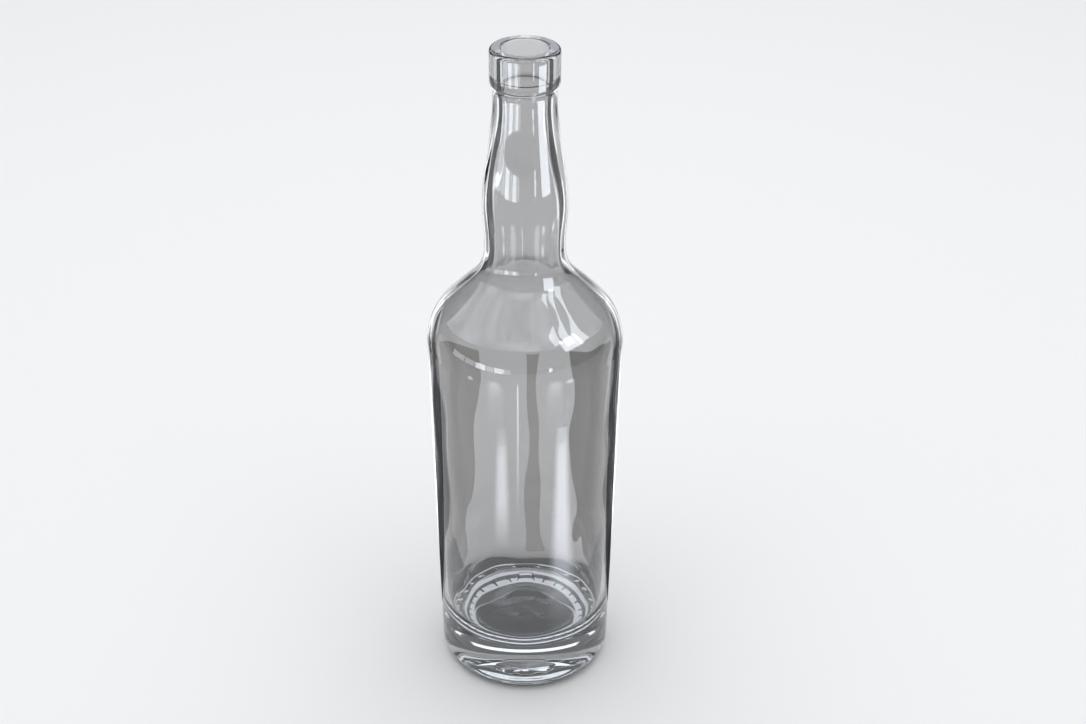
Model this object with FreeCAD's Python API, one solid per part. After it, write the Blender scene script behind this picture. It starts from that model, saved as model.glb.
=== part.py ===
import FreeCAD, Part
import math
import os

# A clear glass spirit bottle of 750 ml, empty and open, for a bar-top cork. All sizes are in millimetres.
# +Z is up, and the origin is the centre of the ring that the bottle stands on. The glass is one turned
# shape, so its outline lies in the XZ plane: r is the distance from the axis and z is the height.

# Body and shoulder, outside
body_radius = 42.4        # where the side's line meets the shoulder's line
body_height = 178.6       # height of that corner
body_taper = 1.07         # degrees that the side leans outwards
shoulder_slope = 45.0     # degrees that the shoulder drops from level
shoulder_round = 26.0     # arc between the side and the shoulder

# Neck, outside
root_radius = 17.05       # narrow part just above the shoulder
root_round = 20.0         # hollow arc between the shoulder and the neck
root_straight = 3.8       # straight stretch above that arc
swell_radius = 17.85      # widest part of the neck
swell_rise = 15.0         # from the straight stretch up to the widest part
taper_rise = 50.0         # from the widest part up to the narrow top of the neck
neck_top_straight = 2.3   # straight stretch under the collar

# Collar and cork bore
bore_radius = 9.25        # takes a standard 18.5 mm cork
bore_step_depth = 12.2    # from the mouth down to the step where the bore narrows
bore_step = 0.5           # how much the radius narrows there, by a 45 degree ledge
bore_depth = 26.0         # from the mouth down to the end of the straight bore
collar_wall = 5.05        # glass round the bore at the collar
neck_top_wall = 3.7       # glass round the bore under the collar
collar_height = 16.45     # from the neck up to the mouth
collar_under_rise = 3.2   # height of the rounded underside of the collar
lip_outer_round = 1.6
lip_bore_round = 1.1

# Walls, inside
body_wall = 3.6           # at the side and the shoulder
neck_wall = 4.0           # at the widest part of the neck and at its root
floor_height = 21.0       # from the ground to the edge of the inside floor
floor_dome = 1.5          # how much the inside floor rises in the middle
floor_corner_round = 13.5  # where the inside floor meets the wall

# Foot
heel_round = 7.5          # where the side meets the ground
foot_width = 3.0          # flat ring that stands on the ground
push_up = 5.0             # how far the underside is hollowed in the middle
knurl_count = 30          # short radial grooves across the flat ring and onto the heel
knurl_width = 1.3
knurl_length = 4.5
knurl_depth = 0.7
knurl_inset = 0.8         # flat left inside the grooves
notch_width = 8.7         # locating notch across the flat ring and the heel, at the back
notch_inset = 1.2         # flat left inside the notch
notch_depth = 2.4


def at(r, z):
    return FreeCAD.Vector(r, 0, z)


def line(start, end):
    return Part.makeLine(start, end)


def rounded_run(corners):
    """Straight runs through (r, z, round) corners, joined by tangent arcs. The ends have no round."""
    edges = []
    here = at(*corners[0][:2])
    for before, corner, after in zip(corners, corners[1:], corners[2:]):
        vertex = at(*corner[:2])
        back = (at(*before[:2]) - vertex).normalize()
        ahead = (at(*after[:2]) - vertex).normalize()
        half_angle = back.getAngle(ahead) / 2
        radius = corner[2]
        reach = radius / math.tan(half_angle)
        bisector = (back + ahead).normalize()
        middle = vertex + bisector * (radius / math.sin(half_angle) - radius)
        edges.append(line(here, vertex + back * reach))
        edges.append(Part.Arc(vertex + back * reach, middle, vertex + ahead * reach).toShape())
        here = vertex + ahead * reach
    edges.append(line(here, at(*corners[-1][:2])))
    return edges


def swelling(start, end):
    """One smooth S between two points of the neck, upright at both ends."""
    handle = FreeCAD.Vector(0, 0, (end.z - start.z) / 3)
    curve = Part.BezierCurve()
    curve.setPoles([start, start + handle, end - handle, end])
    return curve.toShape()


def cap(centre_height, edge_radius, edge_height):
    """Half of a shallow dome: an arc from the axis to its edge, level at the axis."""
    rise = centre_height - edge_height
    radius = (edge_radius ** 2 + rise ** 2) / (2 * rise)
    half_turn = math.asin(edge_radius / radius) / 2
    middle = at(radius * math.sin(half_turn), centre_height - radius * (1 - math.cos(half_turn)))
    return Part.Arc(at(0, centre_height), middle, at(edge_radius, edge_height)).toShape()


def collar_underside(start, end):
    """The collar's rounded underside: an arc from the neck out to the collar's side, upright at its top."""
    step = end.x - start.x
    rise = end.z - start.z
    radius = (step ** 2 + rise ** 2) / (2 * step)
    half_turn = math.asin(rise / radius) / 2
    centre = end - at(radius, 0)
    middle = centre + at(radius * math.cos(half_turn), -radius * math.sin(half_turn))
    return Part.Arc(start, middle, end).toShape()


# Heights and radii that follow from the sizes above
lean = math.radians(body_taper)
slope = math.radians(shoulder_slope)
base_radius = body_radius - body_height * math.tan(lean)
root_height = body_height + (body_radius - root_radius) * math.tan(slope)
root_top = root_height + root_round * math.tan((math.pi / 2 - slope) / 2) + root_straight
swell_height = root_top + swell_rise
taper_top = swell_height + taper_rise
collar_bottom = taper_top + neck_top_straight
overall_height = collar_bottom + collar_height
bore_bottom = overall_height - bore_depth
collar_radius = bore_radius + collar_wall
neck_top_radius = bore_radius + neck_top_wall
foot_outer = base_radius - heel_round
foot_inner = foot_outer - foot_width
bore_ledge = overall_height - bore_step_depth
lower_bore_radius = bore_radius - bore_step

# The inside follows the outside, set in by the wall, so its corners lie on the same two lines set in
inner_side_offset = body_wall / math.cos(lean)
inner_shoulder_offset = body_wall / math.cos(slope)
inner_root_radius = root_radius - neck_wall
inner_swell_radius = swell_radius - neck_wall
inner_foot_radius = base_radius + floor_height * math.tan(lean) - inner_side_offset
floor_flat_radius = (inner_foot_radius - floor_corner_round) / 2


def shoulder_corner(side_offset, slope_offset):
    """Where the side's line and the shoulder's line meet, both set in from the outside."""
    drop = (slope_offset - side_offset * math.tan(slope)) / (1 + math.tan(lean) * math.tan(slope))
    height = body_height - drop
    return base_radius + height * math.tan(lean) - side_offset, height


def shoulder_height(radius, slope_offset):
    """Height of the shoulder's line at a radius, set down from the outside."""
    return body_height + (body_radius - radius) * math.tan(slope) - slope_offset


def outside():
    foot_and_body = rounded_run([
        (foot_inner, 0),
        (base_radius, 0, heel_round),
        (body_radius, body_height, shoulder_round),
        (root_radius, root_height, root_round),
        (root_radius, root_top),
    ])
    neck = [
        swelling(at(root_radius, root_top), at(swell_radius, swell_height)),
        swelling(at(swell_radius, swell_height), at(neck_top_radius, taper_top)),
        line(at(neck_top_radius, taper_top), at(neck_top_radius, collar_bottom)),
    ]
    side_start = at(collar_radius, collar_bottom + collar_under_rise)
    under = collar_underside(at(neck_top_radius, collar_bottom), side_start)
    collar = rounded_run([
        (side_start.x, side_start.z),
        (collar_radius, overall_height, lip_outer_round),
        (bore_radius, overall_height, lip_bore_round),
        (bore_radius, bore_ledge),
    ])
    return [cap(push_up, foot_inner, 0)] + foot_and_body + neck + [under] + collar


def inside():
    neck = [
        line(at(bore_radius, bore_ledge), at(lower_bore_radius, bore_ledge - bore_step)),
        line(at(lower_bore_radius, bore_ledge - bore_step), at(lower_bore_radius, bore_bottom)),
        swelling(at(lower_bore_radius, bore_bottom), at(inner_swell_radius, swell_height)),
        swelling(at(inner_swell_radius, swell_height), at(inner_root_radius, root_top)),
    ]
    body = rounded_run([
        (inner_root_radius, root_top),
        (inner_root_radius, shoulder_height(inner_root_radius, inner_shoulder_offset), root_round + body_wall),
        shoulder_corner(inner_side_offset, inner_shoulder_offset) + (shoulder_round - body_wall,),
        (inner_foot_radius, floor_height, floor_corner_round),
        (floor_flat_radius, floor_height),
    ])
    return neck + body + [cap(floor_height + floor_dome, floor_flat_radius, floor_height)]


def turned_glass():
    """The whole bottle as one turned solid: the outside and the inside closed along the axis."""
    axis = line(at(0, floor_height + floor_dome), at(0, push_up))
    outline = Part.Wire(Part.__sortEdges__(outside() + inside() + [axis]))
    solid = Part.Face(outline).revolve(FreeCAD.Vector(0, 0, 0), FreeCAD.Vector(0, 0, 1), 360)
    return solid


def knurls():
    """Cutters for the radial grooves, which start a little outside the flat ring's inner edge."""
    corner = FreeCAD.Vector(foot_inner + knurl_inset, -knurl_width / 2, -knurl_depth)
    groove = Part.makeBox(knurl_length, knurl_width, 2 * knurl_depth, corner)
    cutters = []
    for number in range(knurl_count):
        cutter = groove.copy()
        turn = (number + 0.5) * 360 / knurl_count
        cutter.rotate(FreeCAD.Vector(0, 0, 0), FreeCAD.Vector(0, 0, 1), turn)
        cutters.append(cutter)
    return cutters


def notch():
    """Cutter for the locating notch, which runs out through the heel at the back."""
    corner = FreeCAD.Vector(-notch_width / 2, foot_inner + notch_inset, -notch_depth)
    return Part.makeBox(notch_width, foot_width + heel_round, 2 * notch_depth, corner)


os.makedirs("parts", exist_ok=True)
bottle = turned_glass().cut(knurls() + [notch()])
Part.Shape(bottle.Solids[0]).exportStep("parts/glass_bottle.step")
print("height", round(overall_height, 2), "solids", len(bottle.Solids), "valid", bottle.isValid())
print("glass cm3", round(bottle.Volume / 1000, 1))
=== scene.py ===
import math

import bpy
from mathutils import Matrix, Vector, noise

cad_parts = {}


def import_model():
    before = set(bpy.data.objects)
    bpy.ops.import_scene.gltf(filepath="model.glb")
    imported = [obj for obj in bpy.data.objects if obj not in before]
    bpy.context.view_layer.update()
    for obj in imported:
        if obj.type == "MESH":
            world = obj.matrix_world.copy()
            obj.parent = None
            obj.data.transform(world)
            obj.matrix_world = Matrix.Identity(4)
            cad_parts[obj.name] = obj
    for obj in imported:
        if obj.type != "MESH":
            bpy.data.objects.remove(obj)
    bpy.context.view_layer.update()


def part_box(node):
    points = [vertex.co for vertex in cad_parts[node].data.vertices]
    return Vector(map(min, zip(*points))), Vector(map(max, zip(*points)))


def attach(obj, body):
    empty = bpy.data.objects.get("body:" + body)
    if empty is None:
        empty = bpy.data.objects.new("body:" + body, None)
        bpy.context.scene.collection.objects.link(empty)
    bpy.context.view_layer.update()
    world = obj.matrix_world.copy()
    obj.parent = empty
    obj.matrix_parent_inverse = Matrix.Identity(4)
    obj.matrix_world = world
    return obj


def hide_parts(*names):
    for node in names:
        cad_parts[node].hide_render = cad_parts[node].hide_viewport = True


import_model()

MM = 0.001

# ---------------------------------------------------------------- the bottle's sizes, in millimetres
# r is the distance from the bottle's axis and z the height, as in the CAD model that this piece replaces.

BODY_RADIUS = 42.4
BODY_HEIGHT = 178.6
BODY_TAPER = math.radians(1.07)
SHOULDER_SLOPE = math.radians(45.0)
SHOULDER_ROUND = 26.0
ROOT_RADIUS = 17.05
ROOT_ROUND = 20.0
ROOT_STRAIGHT = 3.8
SWELL_RADIUS = 17.85
SWELL_RISE = 15.0
TAPER_RISE = 50.0
NECK_TOP_STRAIGHT = 2.3
BORE_RADIUS = 9.25
BORE_STEP_DEPTH = 12.2
BORE_STEP = 0.5
BORE_DEPTH = 26.0
COLLAR_WALL = 5.05
NECK_TOP_WALL = 3.7
COLLAR_UNDER_RISE = 3.2
LIP_OUTER_ROUND = 1.6
LIP_BORE_ROUND = 1.1
BODY_WALL = 3.6
NECK_WALL = 4.0
FLOOR_HEIGHT = 21.0
FLOOR_DOME = 1.5
FLOOR_CORNER_ROUND = 13.5
HEEL_ROUND = 7.5
FOOT_WIDTH = 3.0
PUSH_UP = 5.0
KNURL_COUNT = 30
KNURL_WIDTH = 1.3
KNURL_LENGTH = 4.5
KNURL_DEPTH = 0.7
KNURL_INSET = 0.8
NOTCH_WIDTH = 8.7
NOTCH_INSET = 1.2
NOTCH_DEPTH = 2.4

LEDGE_ROUND = 0.2         # softens the edges of the step in the bore
INNER_WAVE = 0.35         # how far the inside wall wanders in and out
OUTER_WAVE = 0.05         # the same for the outside
WAVE_TURNS = 2.6          # how quickly the wandering changes round the wall
WAVE_HEIGHT = 28.0        # how quickly it changes up the wall
WAVE_FADE = 20.0          # height over which it dies away below the bore and above the foot

SEGMENTS = 360            # steps round the bottle, twelve to each knurl
ARC_STEP = math.radians(7)        # longest turn between two points of an arc
WALL_STEP = 6.0           # longest step along a straight part of the outline
COLLAR_STEP = 2.0         # the same at the collar and in the bore
FOOT_STEP = 0.4           # the same at the foot, where the grooves are
FOOT_TOP = 9.0            # height where the foot's fine steps end
SWELL_STEPS = 14          # steps along each long S of the neck
ROOT_SWELL_STEPS = 8      # steps along the short S above the shoulder
UNDERSIDE_STEPS = 6       # steps round the collar's underside
DOME_STEPS = 14           # steps from the axis to the edge of the floor and of the push-up

BASE_RADIUS = BODY_RADIUS - BODY_HEIGHT * math.tan(BODY_TAPER)
ROOT_HEIGHT = BODY_HEIGHT + (BODY_RADIUS - ROOT_RADIUS) * math.tan(SHOULDER_SLOPE)
ROOT_TOP = ROOT_HEIGHT + ROOT_ROUND * math.tan((math.pi / 2 - SHOULDER_SLOPE) / 2) + ROOT_STRAIGHT
SWELL_HEIGHT = ROOT_TOP + SWELL_RISE
TAPER_TOP = SWELL_HEIGHT + TAPER_RISE
COLLAR_BOTTOM = TAPER_TOP + NECK_TOP_STRAIGHT
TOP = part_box("glass_bottle")[1][2] / MM
BORE_LEDGE = TOP - BORE_STEP_DEPTH
BORE_BOTTOM = TOP - BORE_DEPTH
LOWER_BORE = BORE_RADIUS - BORE_STEP
COLLAR_RADIUS = BORE_RADIUS + COLLAR_WALL
NECK_TOP_RADIUS = BORE_RADIUS + NECK_TOP_WALL
FOOT_OUTER = BASE_RADIUS - HEEL_ROUND
FOOT_INNER = FOOT_OUTER - FOOT_WIDTH
SIDE_OFFSET = BODY_WALL / math.cos(BODY_TAPER)
SLOPE_OFFSET = BODY_WALL / math.cos(SHOULDER_SLOPE)
INNER_ROOT = ROOT_RADIUS - NECK_WALL
INNER_SWELL = SWELL_RADIUS - NECK_WALL

GLASS_SHADE_GREY = 0.68               # grey given to the clear glass, painted shade standing in for the dim room seen through it, as dark as it looks in the photo
GLASS_IOR = 1.52
ABSORB_COLOUR = (0.5, 0.51, 0.51)
ABSORB_DENSITY = 10.0     # for each metre of glass


# ---------------------------------------------------------------- outline helpers

def straight(start, end, step):
    """Points from start to end, without the start."""
    count = max(1, math.ceil((end - start).length / step))
    return [start.lerp(end, i / count) for i in range(1, count + 1)]


def rounded_run(corners, step=WALL_STEP):
    """Points of straight runs through (r, z, round) corners joined by tangent arcs."""
    here = Vector(corners[0][:2])
    points = [here]
    for before, corner, after in zip(corners, corners[1:], corners[2:]):
        vertex = Vector(corner[:2])
        back = (Vector(before[:2]) - vertex).normalized()
        ahead = (Vector(after[:2]) - vertex).normalized()
        half = back.angle(ahead) / 2
        reach = corner[2] / math.tan(half)
        centre = vertex + (back + ahead).normalized() * (corner[2] / math.sin(half))
        start, end = vertex + back * reach, vertex + ahead * reach
        points += straight(here, start, step)
        turn = math.pi - 2 * half
        count = max(2, math.ceil(turn / ARC_STEP))
        first, last = start - centre, end - centre
        signed = math.atan2(first.x * last.y - first.y * last.x, first.dot(last))
        for i in range(1, count + 1):
            a = signed * i / count
            points.append(centre + Vector((first.x * math.cos(a) - first.y * math.sin(a),
                                           first.x * math.sin(a) + first.y * math.cos(a))))
        here = end
    return points + straight(here, Vector(corners[-1][:2]), step)


def swelling(start, end, count=SWELL_STEPS):
    """Points of one smooth S, upright at both ends, without the start."""
    points = []
    for i in range(1, count + 1):
        t = i / count
        ease = t * t * (3 - 2 * t)
        points.append(Vector((start[0] + (end[0] - start[0]) * ease, start[1] + (end[1] - start[1]) * t)))
    return points


def dome(centre_height, edge_radius, edge_height):
    """Points of a shallow dome from near the axis out to its edge."""
    rise = centre_height - edge_height
    radius = (edge_radius ** 2 + rise ** 2) / (2 * rise)
    full = math.asin(edge_radius / radius)
    turns = [full * i / DOME_STEPS for i in range(1, DOME_STEPS + 1)]
    return [Vector((radius * math.sin(a), centre_height - radius * (1 - math.cos(a)))) for a in turns]


def shoulder_corner(side_offset, slope_offset):
    """Where the side's line and the shoulder's line meet, both set in from the outside."""
    drop = ((slope_offset - side_offset * math.tan(SHOULDER_SLOPE))
            / (1 + math.tan(BODY_TAPER) * math.tan(SHOULDER_SLOPE)))
    height = BODY_HEIGHT - drop
    return BASE_RADIUS + height * math.tan(BODY_TAPER) - side_offset, height


def foot_relief(r, z, angle):
    """Height of the foot's surface once the grooves and the notch are pressed into it."""
    pitch = 2 * math.pi / KNURL_COUNT
    across = abs((angle % pitch) - pitch / 2) * r
    start = FOOT_INNER + KNURL_INSET
    if across <= KNURL_WIDTH / 2 and start <= r <= start + KNURL_LENGTH:
        z = max(z, KNURL_DEPTH)
    back = abs(angle - math.pi) * r
    if back <= NOTCH_WIDTH / 2 and r >= FOOT_INNER + NOTCH_INSET:
        z = max(z, NOTCH_DEPTH)
    return z


def outside():
    """The outside's outline, from the middle of the push-up to the lower end of the straight bore."""
    points = dome(PUSH_UP, FOOT_INNER, 0)
    foot_top = (BASE_RADIUS + FOOT_TOP * math.tan(BODY_TAPER), FOOT_TOP)
    points += rounded_run([(FOOT_INNER, 0), (BASE_RADIUS, 0, HEEL_ROUND), foot_top], FOOT_STEP)[1:]
    points += rounded_run([
        foot_top,
        (BODY_RADIUS, BODY_HEIGHT, SHOULDER_ROUND),
        (ROOT_RADIUS, ROOT_HEIGHT, ROOT_ROUND),
        (ROOT_RADIUS, ROOT_TOP),
    ])[1:]
    points += swelling((ROOT_RADIUS, ROOT_TOP), (SWELL_RADIUS, SWELL_HEIGHT), ROOT_SWELL_STEPS)
    points += swelling((SWELL_RADIUS, SWELL_HEIGHT), (NECK_TOP_RADIUS, TAPER_TOP))
    points.append(Vector((NECK_TOP_RADIUS, COLLAR_BOTTOM)))
    side_start = COLLAR_BOTTOM + COLLAR_UNDER_RISE
    overhang = COLLAR_WALL - NECK_TOP_WALL
    under = (overhang ** 2 + COLLAR_UNDER_RISE ** 2) / (2 * overhang)
    sweep = math.asin(COLLAR_UNDER_RISE / under)
    turns = [sweep * (1 - i / UNDERSIDE_STEPS) for i in range(1, UNDERSIDE_STEPS + 1)]
    points += [Vector((COLLAR_RADIUS - under * (1 - math.cos(a)), side_start - under * math.sin(a)))
               for a in turns]
    points += rounded_run([
        (COLLAR_RADIUS, side_start),
        (COLLAR_RADIUS, TOP, LIP_OUTER_ROUND),
        (BORE_RADIUS, TOP, LIP_BORE_ROUND),
        (BORE_RADIUS, BORE_LEDGE, LEDGE_ROUND),
        (LOWER_BORE, BORE_LEDGE - BORE_STEP, LEDGE_ROUND),
        (LOWER_BORE, BORE_BOTTOM),
    ], COLLAR_STEP)[1:]
    return points


def inside():
    """The inside's outline, from below the straight bore down to the middle of the floor."""
    foot = BASE_RADIUS + FLOOR_HEIGHT * math.tan(BODY_TAPER) - SIDE_OFFSET
    flat = (foot - FLOOR_CORNER_ROUND) / 2
    root = BODY_HEIGHT + (BODY_RADIUS - INNER_ROOT) * math.tan(SHOULDER_SLOPE) - SLOPE_OFFSET
    points = swelling((LOWER_BORE, BORE_BOTTOM), (INNER_SWELL, SWELL_HEIGHT))
    points += swelling((INNER_SWELL, SWELL_HEIGHT), (INNER_ROOT, ROOT_TOP), ROOT_SWELL_STEPS)
    points += rounded_run([
        (INNER_ROOT, ROOT_TOP),
        (INNER_ROOT, root, ROOT_ROUND + BODY_WALL),
        shoulder_corner(SIDE_OFFSET, SLOPE_OFFSET) + (SHOULDER_ROUND - BODY_WALL,),
        (foot, FLOOR_HEIGHT, FLOOR_CORNER_ROUND),
        (flat, FLOOR_HEIGHT),
    ])[1:]
    points += dome(FLOOR_HEIGHT + FLOOR_DOME, flat, FLOOR_HEIGHT)[-2::-1]
    return points


def wander(angle, z, amount):
    """How far blown glass strays from its even radius, nothing near the bore and the foot."""
    under_bore = min(1, max(0, (BORE_BOTTOM - z) / WAVE_FADE))
    over_foot = min(1, max(0, (z - NOTCH_DEPTH) / WAVE_FADE))
    place = Vector((WAVE_TURNS * math.sin(angle), WAVE_TURNS * math.cos(angle), z / WAVE_HEIGHT))
    return amount * under_bore * over_foot * noise.noise(place)


def bottle():
    """The whole bottle as one closed mesh: the outside and the inside turned round the axis."""
    outer = outside()
    profile = outer + inside()
    verts = [(0, 0, PUSH_UP * MM)]
    for index, (r, z) in enumerate(profile):
        for s in range(SEGMENTS):
            a = 2 * math.pi * s / SEGMENTS
            height = foot_relief(r, z, a) if index < len(outer) and z < NOTCH_DEPTH else z
            radius = r + wander(a, z, OUTER_WAVE if index < len(outer) else INNER_WAVE)
            verts.append((radius * math.sin(a) * MM, -radius * math.cos(a) * MM, height * MM))
    verts.append((0, 0, (FLOOR_HEIGHT + FLOOR_DOME) * MM))
    faces = []
    for s in range(SEGMENTS):
        n = (s + 1) % SEGMENTS
        faces.append((0, 1 + n, 1 + s))
        for i in range(len(profile) - 1):
            low, high = 1 + i * SEGMENTS, 1 + (i + 1) * SEGMENTS
            faces.append((low + s, low + n, high + n, high + s))
        last = 1 + (len(profile) - 1) * SEGMENTS
        faces.append((last + s, last + n, len(verts) - 1))
    mesh = bpy.data.meshes.new("bottle_glass")
    mesh.from_pydata(verts, [], faces)
    mesh.shade_smooth()
    piece = bpy.data.objects.new("bottle_glass", mesh)
    bpy.context.scene.collection.objects.link(piece)
    return piece


def glass_material():
    """Clear glass that darkens a little with thickness, with a grey base colour that paints shade over all
    that shows through it.
    """
    mat = bpy.data.materials.new("clear_glass")
    mat.use_nodes = True
    nodes, links = mat.node_tree.nodes, mat.node_tree.links
    shader = nodes["Principled BSDF"]
    # painted shade: this grey base colour darkens everything seen through the clear glass
    shader.inputs["Base Color"].default_value = (GLASS_SHADE_GREY, GLASS_SHADE_GREY, GLASS_SHADE_GREY, 1)
    shader.inputs["Roughness"].default_value = 0.0
    shader.inputs["IOR"].default_value = GLASS_IOR
    shader.inputs["Transmission Weight"].default_value = 1.0
    absorb = nodes.new("ShaderNodeVolumeAbsorption")
    absorb.inputs["Color"].default_value = (*ABSORB_COLOUR, 1)
    absorb.inputs["Density"].default_value = ABSORB_DENSITY
    links.new(absorb.outputs[0], nodes["Material Output"].inputs["Volume"])
    return mat


piece = bottle()
piece.data.materials.append(glass_material())
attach(piece, "root")
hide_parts("glass_bottle")


# ---------------------------------------------------------------- floor, light and camera, in metres
# The overhead lamp lights only the floor. The other lamps and the sheets show only in or through the glass,
# and stand in for the room round the real bottle.
# Azimuths are in degrees round the bottle, from the camera's side towards +X.

PHOTO_WIDTH = 1086        # pixels
FOCAL_PIXELS = 1665.97
SHIFT_PIXELS = 18
SENSOR_WIDTH = 36         # millimetres
CAMERA_DISTANCE = 0.62069
CAMERA_HEIGHT = 0.53379
AIM_HEIGHT = 0.15541
NEAREST_SEEN = 0.01
FARTHEST_SEEN = 50

FLOOR_SIZE = 8
FLOOR_LEVEL = -0.0002
FLOOR_TONE = 0.92
ROOM = (0.92, 0.95, 1.0)
ROOM_STRENGTH = 0.25

OVERHEAD_PLACE = (0, 0.2, 2.0)
OVERHEAD_SIZE = 3.6
OVERHEAD_RADIANCE = 1.5

SKY = (0.86, 0.92, 1.0)
SHEET_TONE = 0.01         # the sheets are nearly black apart from what they give out

# A band high round the studio, whose lower edge is highest in front
BAND_DISTANCE = 0.95
BAND_LOW_FRONT = 0.95
BAND_LOW_SIDE = 0.30
BAND_LOW_BEND = 3
BAND_HIGH = 2.6
BAND_REACH = 150          # azimuth of its two ends
BAND_STEPS = 60
CLOUD_SCALE = 1.6
CLOUD_DETAIL = 3.0
CLOUD_RANGE = (0.40, 0.60)        # noise that gives the least and the most radiance
CLOUD_RADIANCE = (1.2, 3.2)

# Glowing rings under the foot, painted light and shade of the table top under the glass: inner and outer
# radius in millimetres, and radiance
PAINTED_FOOT_LIGHTS = ((0.01, 26.5, 0.14), (26.5, 33.0, 1.5), (33.0, 36.5, 0.25), (36.5, 39.5, 1.5))
FOOT_LIGHT_STEPS = 72

# Grey cards on the floor behind the bottle, for the darker panels of its body: left and right edge in
# millimetres, as seen at the bottle, then nearest and farthest, and radiance
CARDS = (
    (-80, -31, 0.035, 0.27, 0.46),
    (0, 8, 0.05, 0.27, 0.52),
    (30, 80, 0.035, 0.27, 0.34),
)
CARD_LIFT = 0.001
CARD_GREY = (1.0, 0.985, 0.97)

# Dark sheets beside the bottle, for the dark lines along its edges: azimuth and the angle they fill
FLAGS = ((-128, 26), (128, 26))
FLAG_NEAR = 0.05
FLAG_FAR = 0.36
FLAG_HEIGHT = 0.40
FLAG_LIFT = 0.003
FLAG_RADIANCE = 0.08

# Upright lamps: azimuth, angle they fill, distance, lowest, highest, radiance, soft edge, and whether they
# show only in what the glass mirrors
SLATS = (
    # streaks on the left of the neck
    (-18, 7, 0.34, 0.150, 0.200, 3.0, 0.15, True),
    (-27, 11, 0.34, 0.145, 0.200, 10.0, 0.15, True),
    (-37, 9, 0.34, 0.145, 0.200, 4.0, 0.15, True),
    (-48, 13, 0.34, 0.145, 0.200, 11.0, 0.15, True),
    (-61, 13, 0.34, 0.150, 0.200, 4.0, 0.15, True),
    (-76, 17, 0.34, 0.150, 0.200, 4.0, 0.15, True),
    # streaks on the right of the neck
    (27, 4, 0.34, 0.160, 0.205, 11.0, 0.15, True),
    # three window panes on the right of the shoulder
    (48, 13, 0.9, 0.92, 1.36, 8.0, 0.05, True),
    (64, 13, 0.9, 0.72, 1.22, 8.0, 0.05, True),
    (81, 15, 0.9, 0.56, 1.00, 8.0, 0.05, True),
    # the wide streak on the right of the neck
    (55, 26, 0.11, 0.215, 0.262, 11.0, 0.1, True),
    # bright lines along the outline
    (-150, 6, 0.34, 0.0, 0.15, 2.0, 0.15, False),
    (150, 6, 0.34, 0.0, 0.15, 2.0, 0.15, False),
    # the top of the rim, and bright patches low in the base
    (180, 50, 0.9, 0.50, 0.74, 2.5, 0.15, False),
)

# Strips on the floor that point away from the bottle, for the streaks down its body and its bright outline:
# azimuth, nearest, farthest, width and radiance
STRIPS = (
    (42, 0.065, 0.29, 0.080, 8),
    (-26, 0.130, 0.26, 0.065, 6),
    (-8, 0.150, 0.50, 0.014, 8),
    (-33, 0.225, 0.50, 0.130, 3.2),
    (33, 0.225, 0.50, 0.130, 3.2),
    (-152, 0.055, 0.32, 0.050, 4),
    (152, 0.055, 0.32, 0.050, 4),
    (-36, 0.32, 0.44, 0.060, 6),
    (-62, 0.32, 0.44, 0.060, 5),
    (50, 0.32, 0.44, 0.090, 6),
)
STRIP_LIFT = 0.002
STRIP_SOFT = 0.8


def floor():
    """A wide pale floor."""
    mesh = bpy.data.meshes.new("studio_floor")
    half = FLOOR_SIZE / 2
    corners = [(x, y, FLOOR_LEVEL) for x, y in ((-half, -half), (half, -half), (half, half), (-half, half))]
    mesh.from_pydata(corners, [], [(0, 1, 2, 3)])
    plane = bpy.data.objects.new("studio_floor", mesh)
    bpy.context.scene.collection.objects.link(plane)
    mat = bpy.data.materials.new("studio_floor")
    mat.use_nodes = True
    shader = mat.node_tree.nodes["Principled BSDF"]
    shader.inputs["Base Color"].default_value = (FLOOR_TONE, FLOOR_TONE, FLOOR_TONE, 1)
    shader.inputs["Roughness"].default_value = 1.0
    shader.inputs["Specular IOR Level"].default_value = 0.0
    mesh.materials.append(mat)


def lamp(name, place, facing, width, height, radiance, colour, soft=0.0, glossy_only=False):
    """A flat lamp that shows only in the glass. soft is the part of its half width that fades to its edge."""
    light = bpy.data.lights.new(name, "AREA")
    light.shape = "RECTANGLE"
    light.size, light.size_y = width, height
    light.energy = radiance * width * height * math.pi
    light.color = colour
    if soft > 0:
        fade_edges(light, soft)
    card = bpy.data.objects.new(name, light)
    card.location = place
    card.rotation_euler = facing.to_track_quat("-Z", "Y").to_euler()
    card.visible_camera = False
    card.visible_diffuse = False
    card.visible_transmission = not glossy_only
    bpy.context.scene.collection.objects.link(card)
    return card


def fade_edges(light, soft):
    """Let a lamp's light fall off smoothly towards its four edges."""
    light.use_nodes = True
    nodes, links = light.node_tree.nodes, light.node_tree.links
    place = nodes.new("ShaderNodeNewGeometry")
    parts = nodes.new("ShaderNodeSeparateXYZ")
    links.new(place.outputs["Parametric"], parts.inputs[0])
    fades = []
    for axis in (0, 1):
        centred = nodes.new("ShaderNodeMath")
        centred.operation = "SUBTRACT"
        centred.inputs[1].default_value = 0.5
        links.new(parts.outputs[axis], centred.inputs[0])
        from_middle = nodes.new("ShaderNodeMath")
        from_middle.operation = "ABSOLUTE"
        links.new(centred.outputs[0], from_middle.inputs[0])
        fade = nodes.new("ShaderNodeMapRange")
        fade.interpolation_type = "SMOOTHSTEP"
        fade.inputs["From Min"].default_value = 0.5 * (1 - soft)
        fade.inputs["From Max"].default_value = 0.5
        fade.inputs["To Min"].default_value = 1
        fade.inputs["To Max"].default_value = 0
        links.new(from_middle.outputs[0], fade.inputs["Value"])
        fades.append(fade)
    both = nodes.new("ShaderNodeMath")
    both.operation = "MULTIPLY"
    links.new(fades[0].outputs[0], both.inputs[0])
    links.new(fades[1].outputs[0], both.inputs[1])
    links.new(both.outputs[0], nodes["Emission"].inputs["Strength"])


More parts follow.
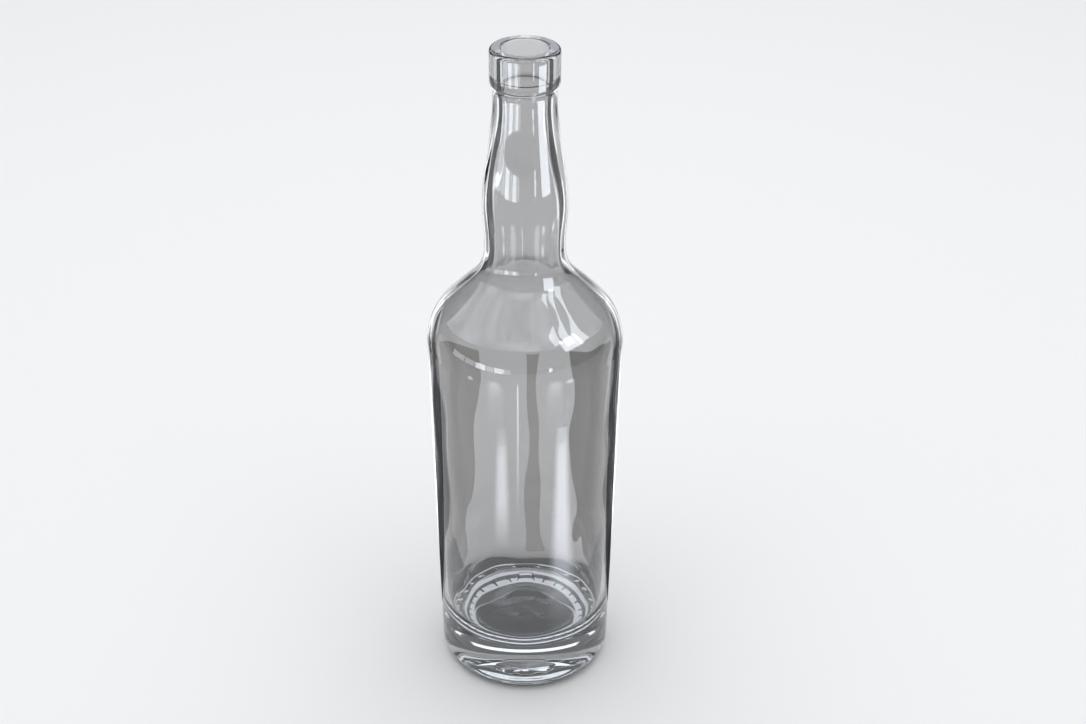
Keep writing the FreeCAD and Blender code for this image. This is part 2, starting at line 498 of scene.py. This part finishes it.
def overhead():
    """One large soft lamp above the bottle that lights the floor. The glass doesn't show it."""
    card = lamp("overhead", OVERHEAD_PLACE, Vector((0, 0, -1)), OVERHEAD_SIZE, OVERHEAD_SIZE,
                OVERHEAD_RADIANCE, (1, 1, 1))
    card.visible_diffuse = True
    card.visible_glossy = False
    card.visible_transmission = False


def around(azimuth, distance, height):
    """A place round the bottle."""
    a = math.radians(azimuth)
    return Vector((distance * math.sin(a), -distance * math.cos(a), height))


def upright(azimuth, turn, distance, low, high, radiance, soft, glossy_only):
    """An upright lamp that faces the bottle. turn is the angle it fills."""
    width = 2 * distance * math.tan(math.radians(turn / 2))
    lamp(f"slat_{azimuth}_{low}", around(azimuth, distance, (low + high) / 2), -around(azimuth, 1, 0),
         width, high - low, radiance, SKY, soft, glossy_only)


def floor_strip(azimuth, near, far, width, radiance):
    """A lamp that lies on the floor, pointing away from the bottle, and shines up at its side."""
    card = lamp(f"strip_{azimuth}", around(azimuth, (near + far) / 2, STRIP_LIFT), Vector((0, 0, 1)),
                width, far - near, radiance, SKY, STRIP_SOFT, True)
    card.rotation_euler = (math.pi, 0, math.radians(azimuth))


def staged_sheet(name, corners, faces, colour, radiance):
    """A sheet of the studio that shows only in or through the glass."""
    mesh = bpy.data.meshes.new(name)
    mesh.from_pydata(corners, [], faces)
    sheet = bpy.data.objects.new(name, mesh)
    bpy.context.scene.collection.objects.link(sheet)
    mat = bpy.data.materials.new(name)
    mat.use_nodes = True
    shader = mat.node_tree.nodes["Principled BSDF"]
    shader.inputs["Base Color"].default_value = (SHEET_TONE, SHEET_TONE, SHEET_TONE, 1)
    shader.inputs["Specular IOR Level"].default_value = 0.0
    shader.inputs["Emission Color"].default_value = (*colour, 1)
    shader.inputs["Emission Strength"].default_value = radiance
    mesh.materials.append(mat)
    sheet.visible_camera = False
    sheet.visible_diffuse = False
    sheet.visible_shadow = False
    return sheet


def flag(azimuth, turn):
    """A dark sheet beside the bottle: a run along the floor, then upright."""
    left, right = azimuth - turn / 2, azimuth + turn / 2
    corners = [around(left, FLAG_NEAR, FLAG_LIFT), around(right, FLAG_NEAR, FLAG_LIFT),
               around(right, FLAG_FAR, FLAG_LIFT), around(left, FLAG_FAR, FLAG_LIFT),
               around(left, FLAG_FAR, FLAG_HEIGHT), around(right, FLAG_FAR, FLAG_HEIGHT)]
    staged_sheet(f"flag_{azimuth}", corners, [(0, 1, 2, 3), (3, 2, 5, 4)], SKY, FLAG_RADIANCE)


def sky_band():
    """A bright band high round the studio, unevenly lit, that shows in the shoulder."""
    corners = []
    for i in range(BAND_STEPS + 1):
        azimuth = BAND_REACH * (2 * i / BAND_STEPS - 1)
        frontness = math.cos(math.radians(azimuth / 2)) ** BAND_LOW_BEND
        low = BAND_LOW_SIDE + (BAND_LOW_FRONT - BAND_LOW_SIDE) * frontness
        corners += [around(azimuth, BAND_DISTANCE, low), around(azimuth, BAND_DISTANCE, BAND_HIGH)]
    faces = [(2 * i, 2 * i + 2, 2 * i + 3, 2 * i + 1) for i in range(BAND_STEPS)]
    sheet = staged_sheet("sky_band", corners, faces, SKY, 1.0)
    sheet.visible_transmission = False
    mat = sheet.data.materials[0]
    nodes, links = mat.node_tree.nodes, mat.node_tree.links
    place = nodes.new("ShaderNodeTexCoord")
    cloud = nodes.new("ShaderNodeTexNoise")
    cloud.inputs["Scale"].default_value = CLOUD_SCALE
    cloud.inputs["Detail"].default_value = CLOUD_DETAIL
    level = nodes.new("ShaderNodeMapRange")
    level.inputs["From Min"].default_value, level.inputs["From Max"].default_value = CLOUD_RANGE
    level.inputs["To Min"].default_value, level.inputs["To Max"].default_value = CLOUD_RADIANCE
    links.new(place.outputs["Object"], cloud.inputs["Vector"])
    links.new(cloud.outputs["Fac"], level.inputs["Value"])
    links.new(level.outputs["Result"], nodes["Principled BSDF"].inputs["Emission Strength"])


def card_behind(left, right, near, far, radiance):
    """A grey card on the floor behind the bottle, seen only through it. Its edges fan out from the camera."""
    corners = []
    for y in (near, far):
        spread = 1 + y / CAMERA_DISTANCE
        corners += [(left * MM * spread, y, CARD_LIFT), (right * MM * spread, y, CARD_LIFT)]
    sheet = staged_sheet(f"card_{left}", corners, [(0, 1, 3, 2)], CARD_GREY, radiance)
    sheet.visible_glossy = False


def painted_foot_light(inner, outer, radiance):
    """A glowing ring under the foot that shows through the base: painted light in place of the table top lit
    through the glass.
    """
    steps = FOOT_LIGHT_STEPS
    corners = []
    for radius in (inner, outer):
        corners += [around(360 * i / steps, radius * MM, FLOOR_LEVEL / 2) for i in range(steps)]
    faces = [(i, (i + 1) % steps, steps + (i + 1) % steps, steps + i) for i in range(steps)]
    sheet = staged_sheet(f"painted_foot_light_{inner}", corners, faces, SKY, radiance)
    sheet.visible_glossy = False


def camera():
    """The camera that was fitted to the outline of the bottle in the photo."""
    data = bpy.data.cameras.new("camera")
    cam = bpy.data.objects.new("camera", data)
    bpy.context.scene.collection.objects.link(cam)
    data.sensor_width = SENSOR_WIDTH
    data.lens = FOCAL_PIXELS * SENSOR_WIDTH / PHOTO_WIDTH
    data.shift_x = SHIFT_PIXELS / PHOTO_WIDTH
    data.clip_start, data.clip_end = NEAREST_SEEN, FARTHEST_SEEN
    cam.location = (0, -CAMERA_DISTANCE, CAMERA_HEIGHT)
    aim = Vector((0, 0, AIM_HEIGHT))
    cam.rotation_euler = (aim - cam.location).to_track_quat("-Z", "Y").to_euler()
    bpy.context.scene.camera = cam


def world():
    """The dim room round the studio."""
    room = bpy.data.worlds.new("studio")
    bpy.context.scene.world = room
    room.use_nodes = True
    background = room.node_tree.nodes["Background"]
    background.inputs["Color"].default_value = (*ROOM, 1)
    background.inputs["Strength"].default_value = ROOM_STRENGTH


floor()
camera()
world()
overhead()
sky_band()
for ring in PAINTED_FOOT_LIGHTS:
    painted_foot_light(*ring)
for card in CARDS:
    card_behind(*card)
for sheet in FLAGS:
    flag(*sheet)
for slat in SLATS:
    upright(*slat)
for strip in STRIPS:
    floor_strip(*strip)

bpy.context.scene.view_settings.view_transform = "Standard"
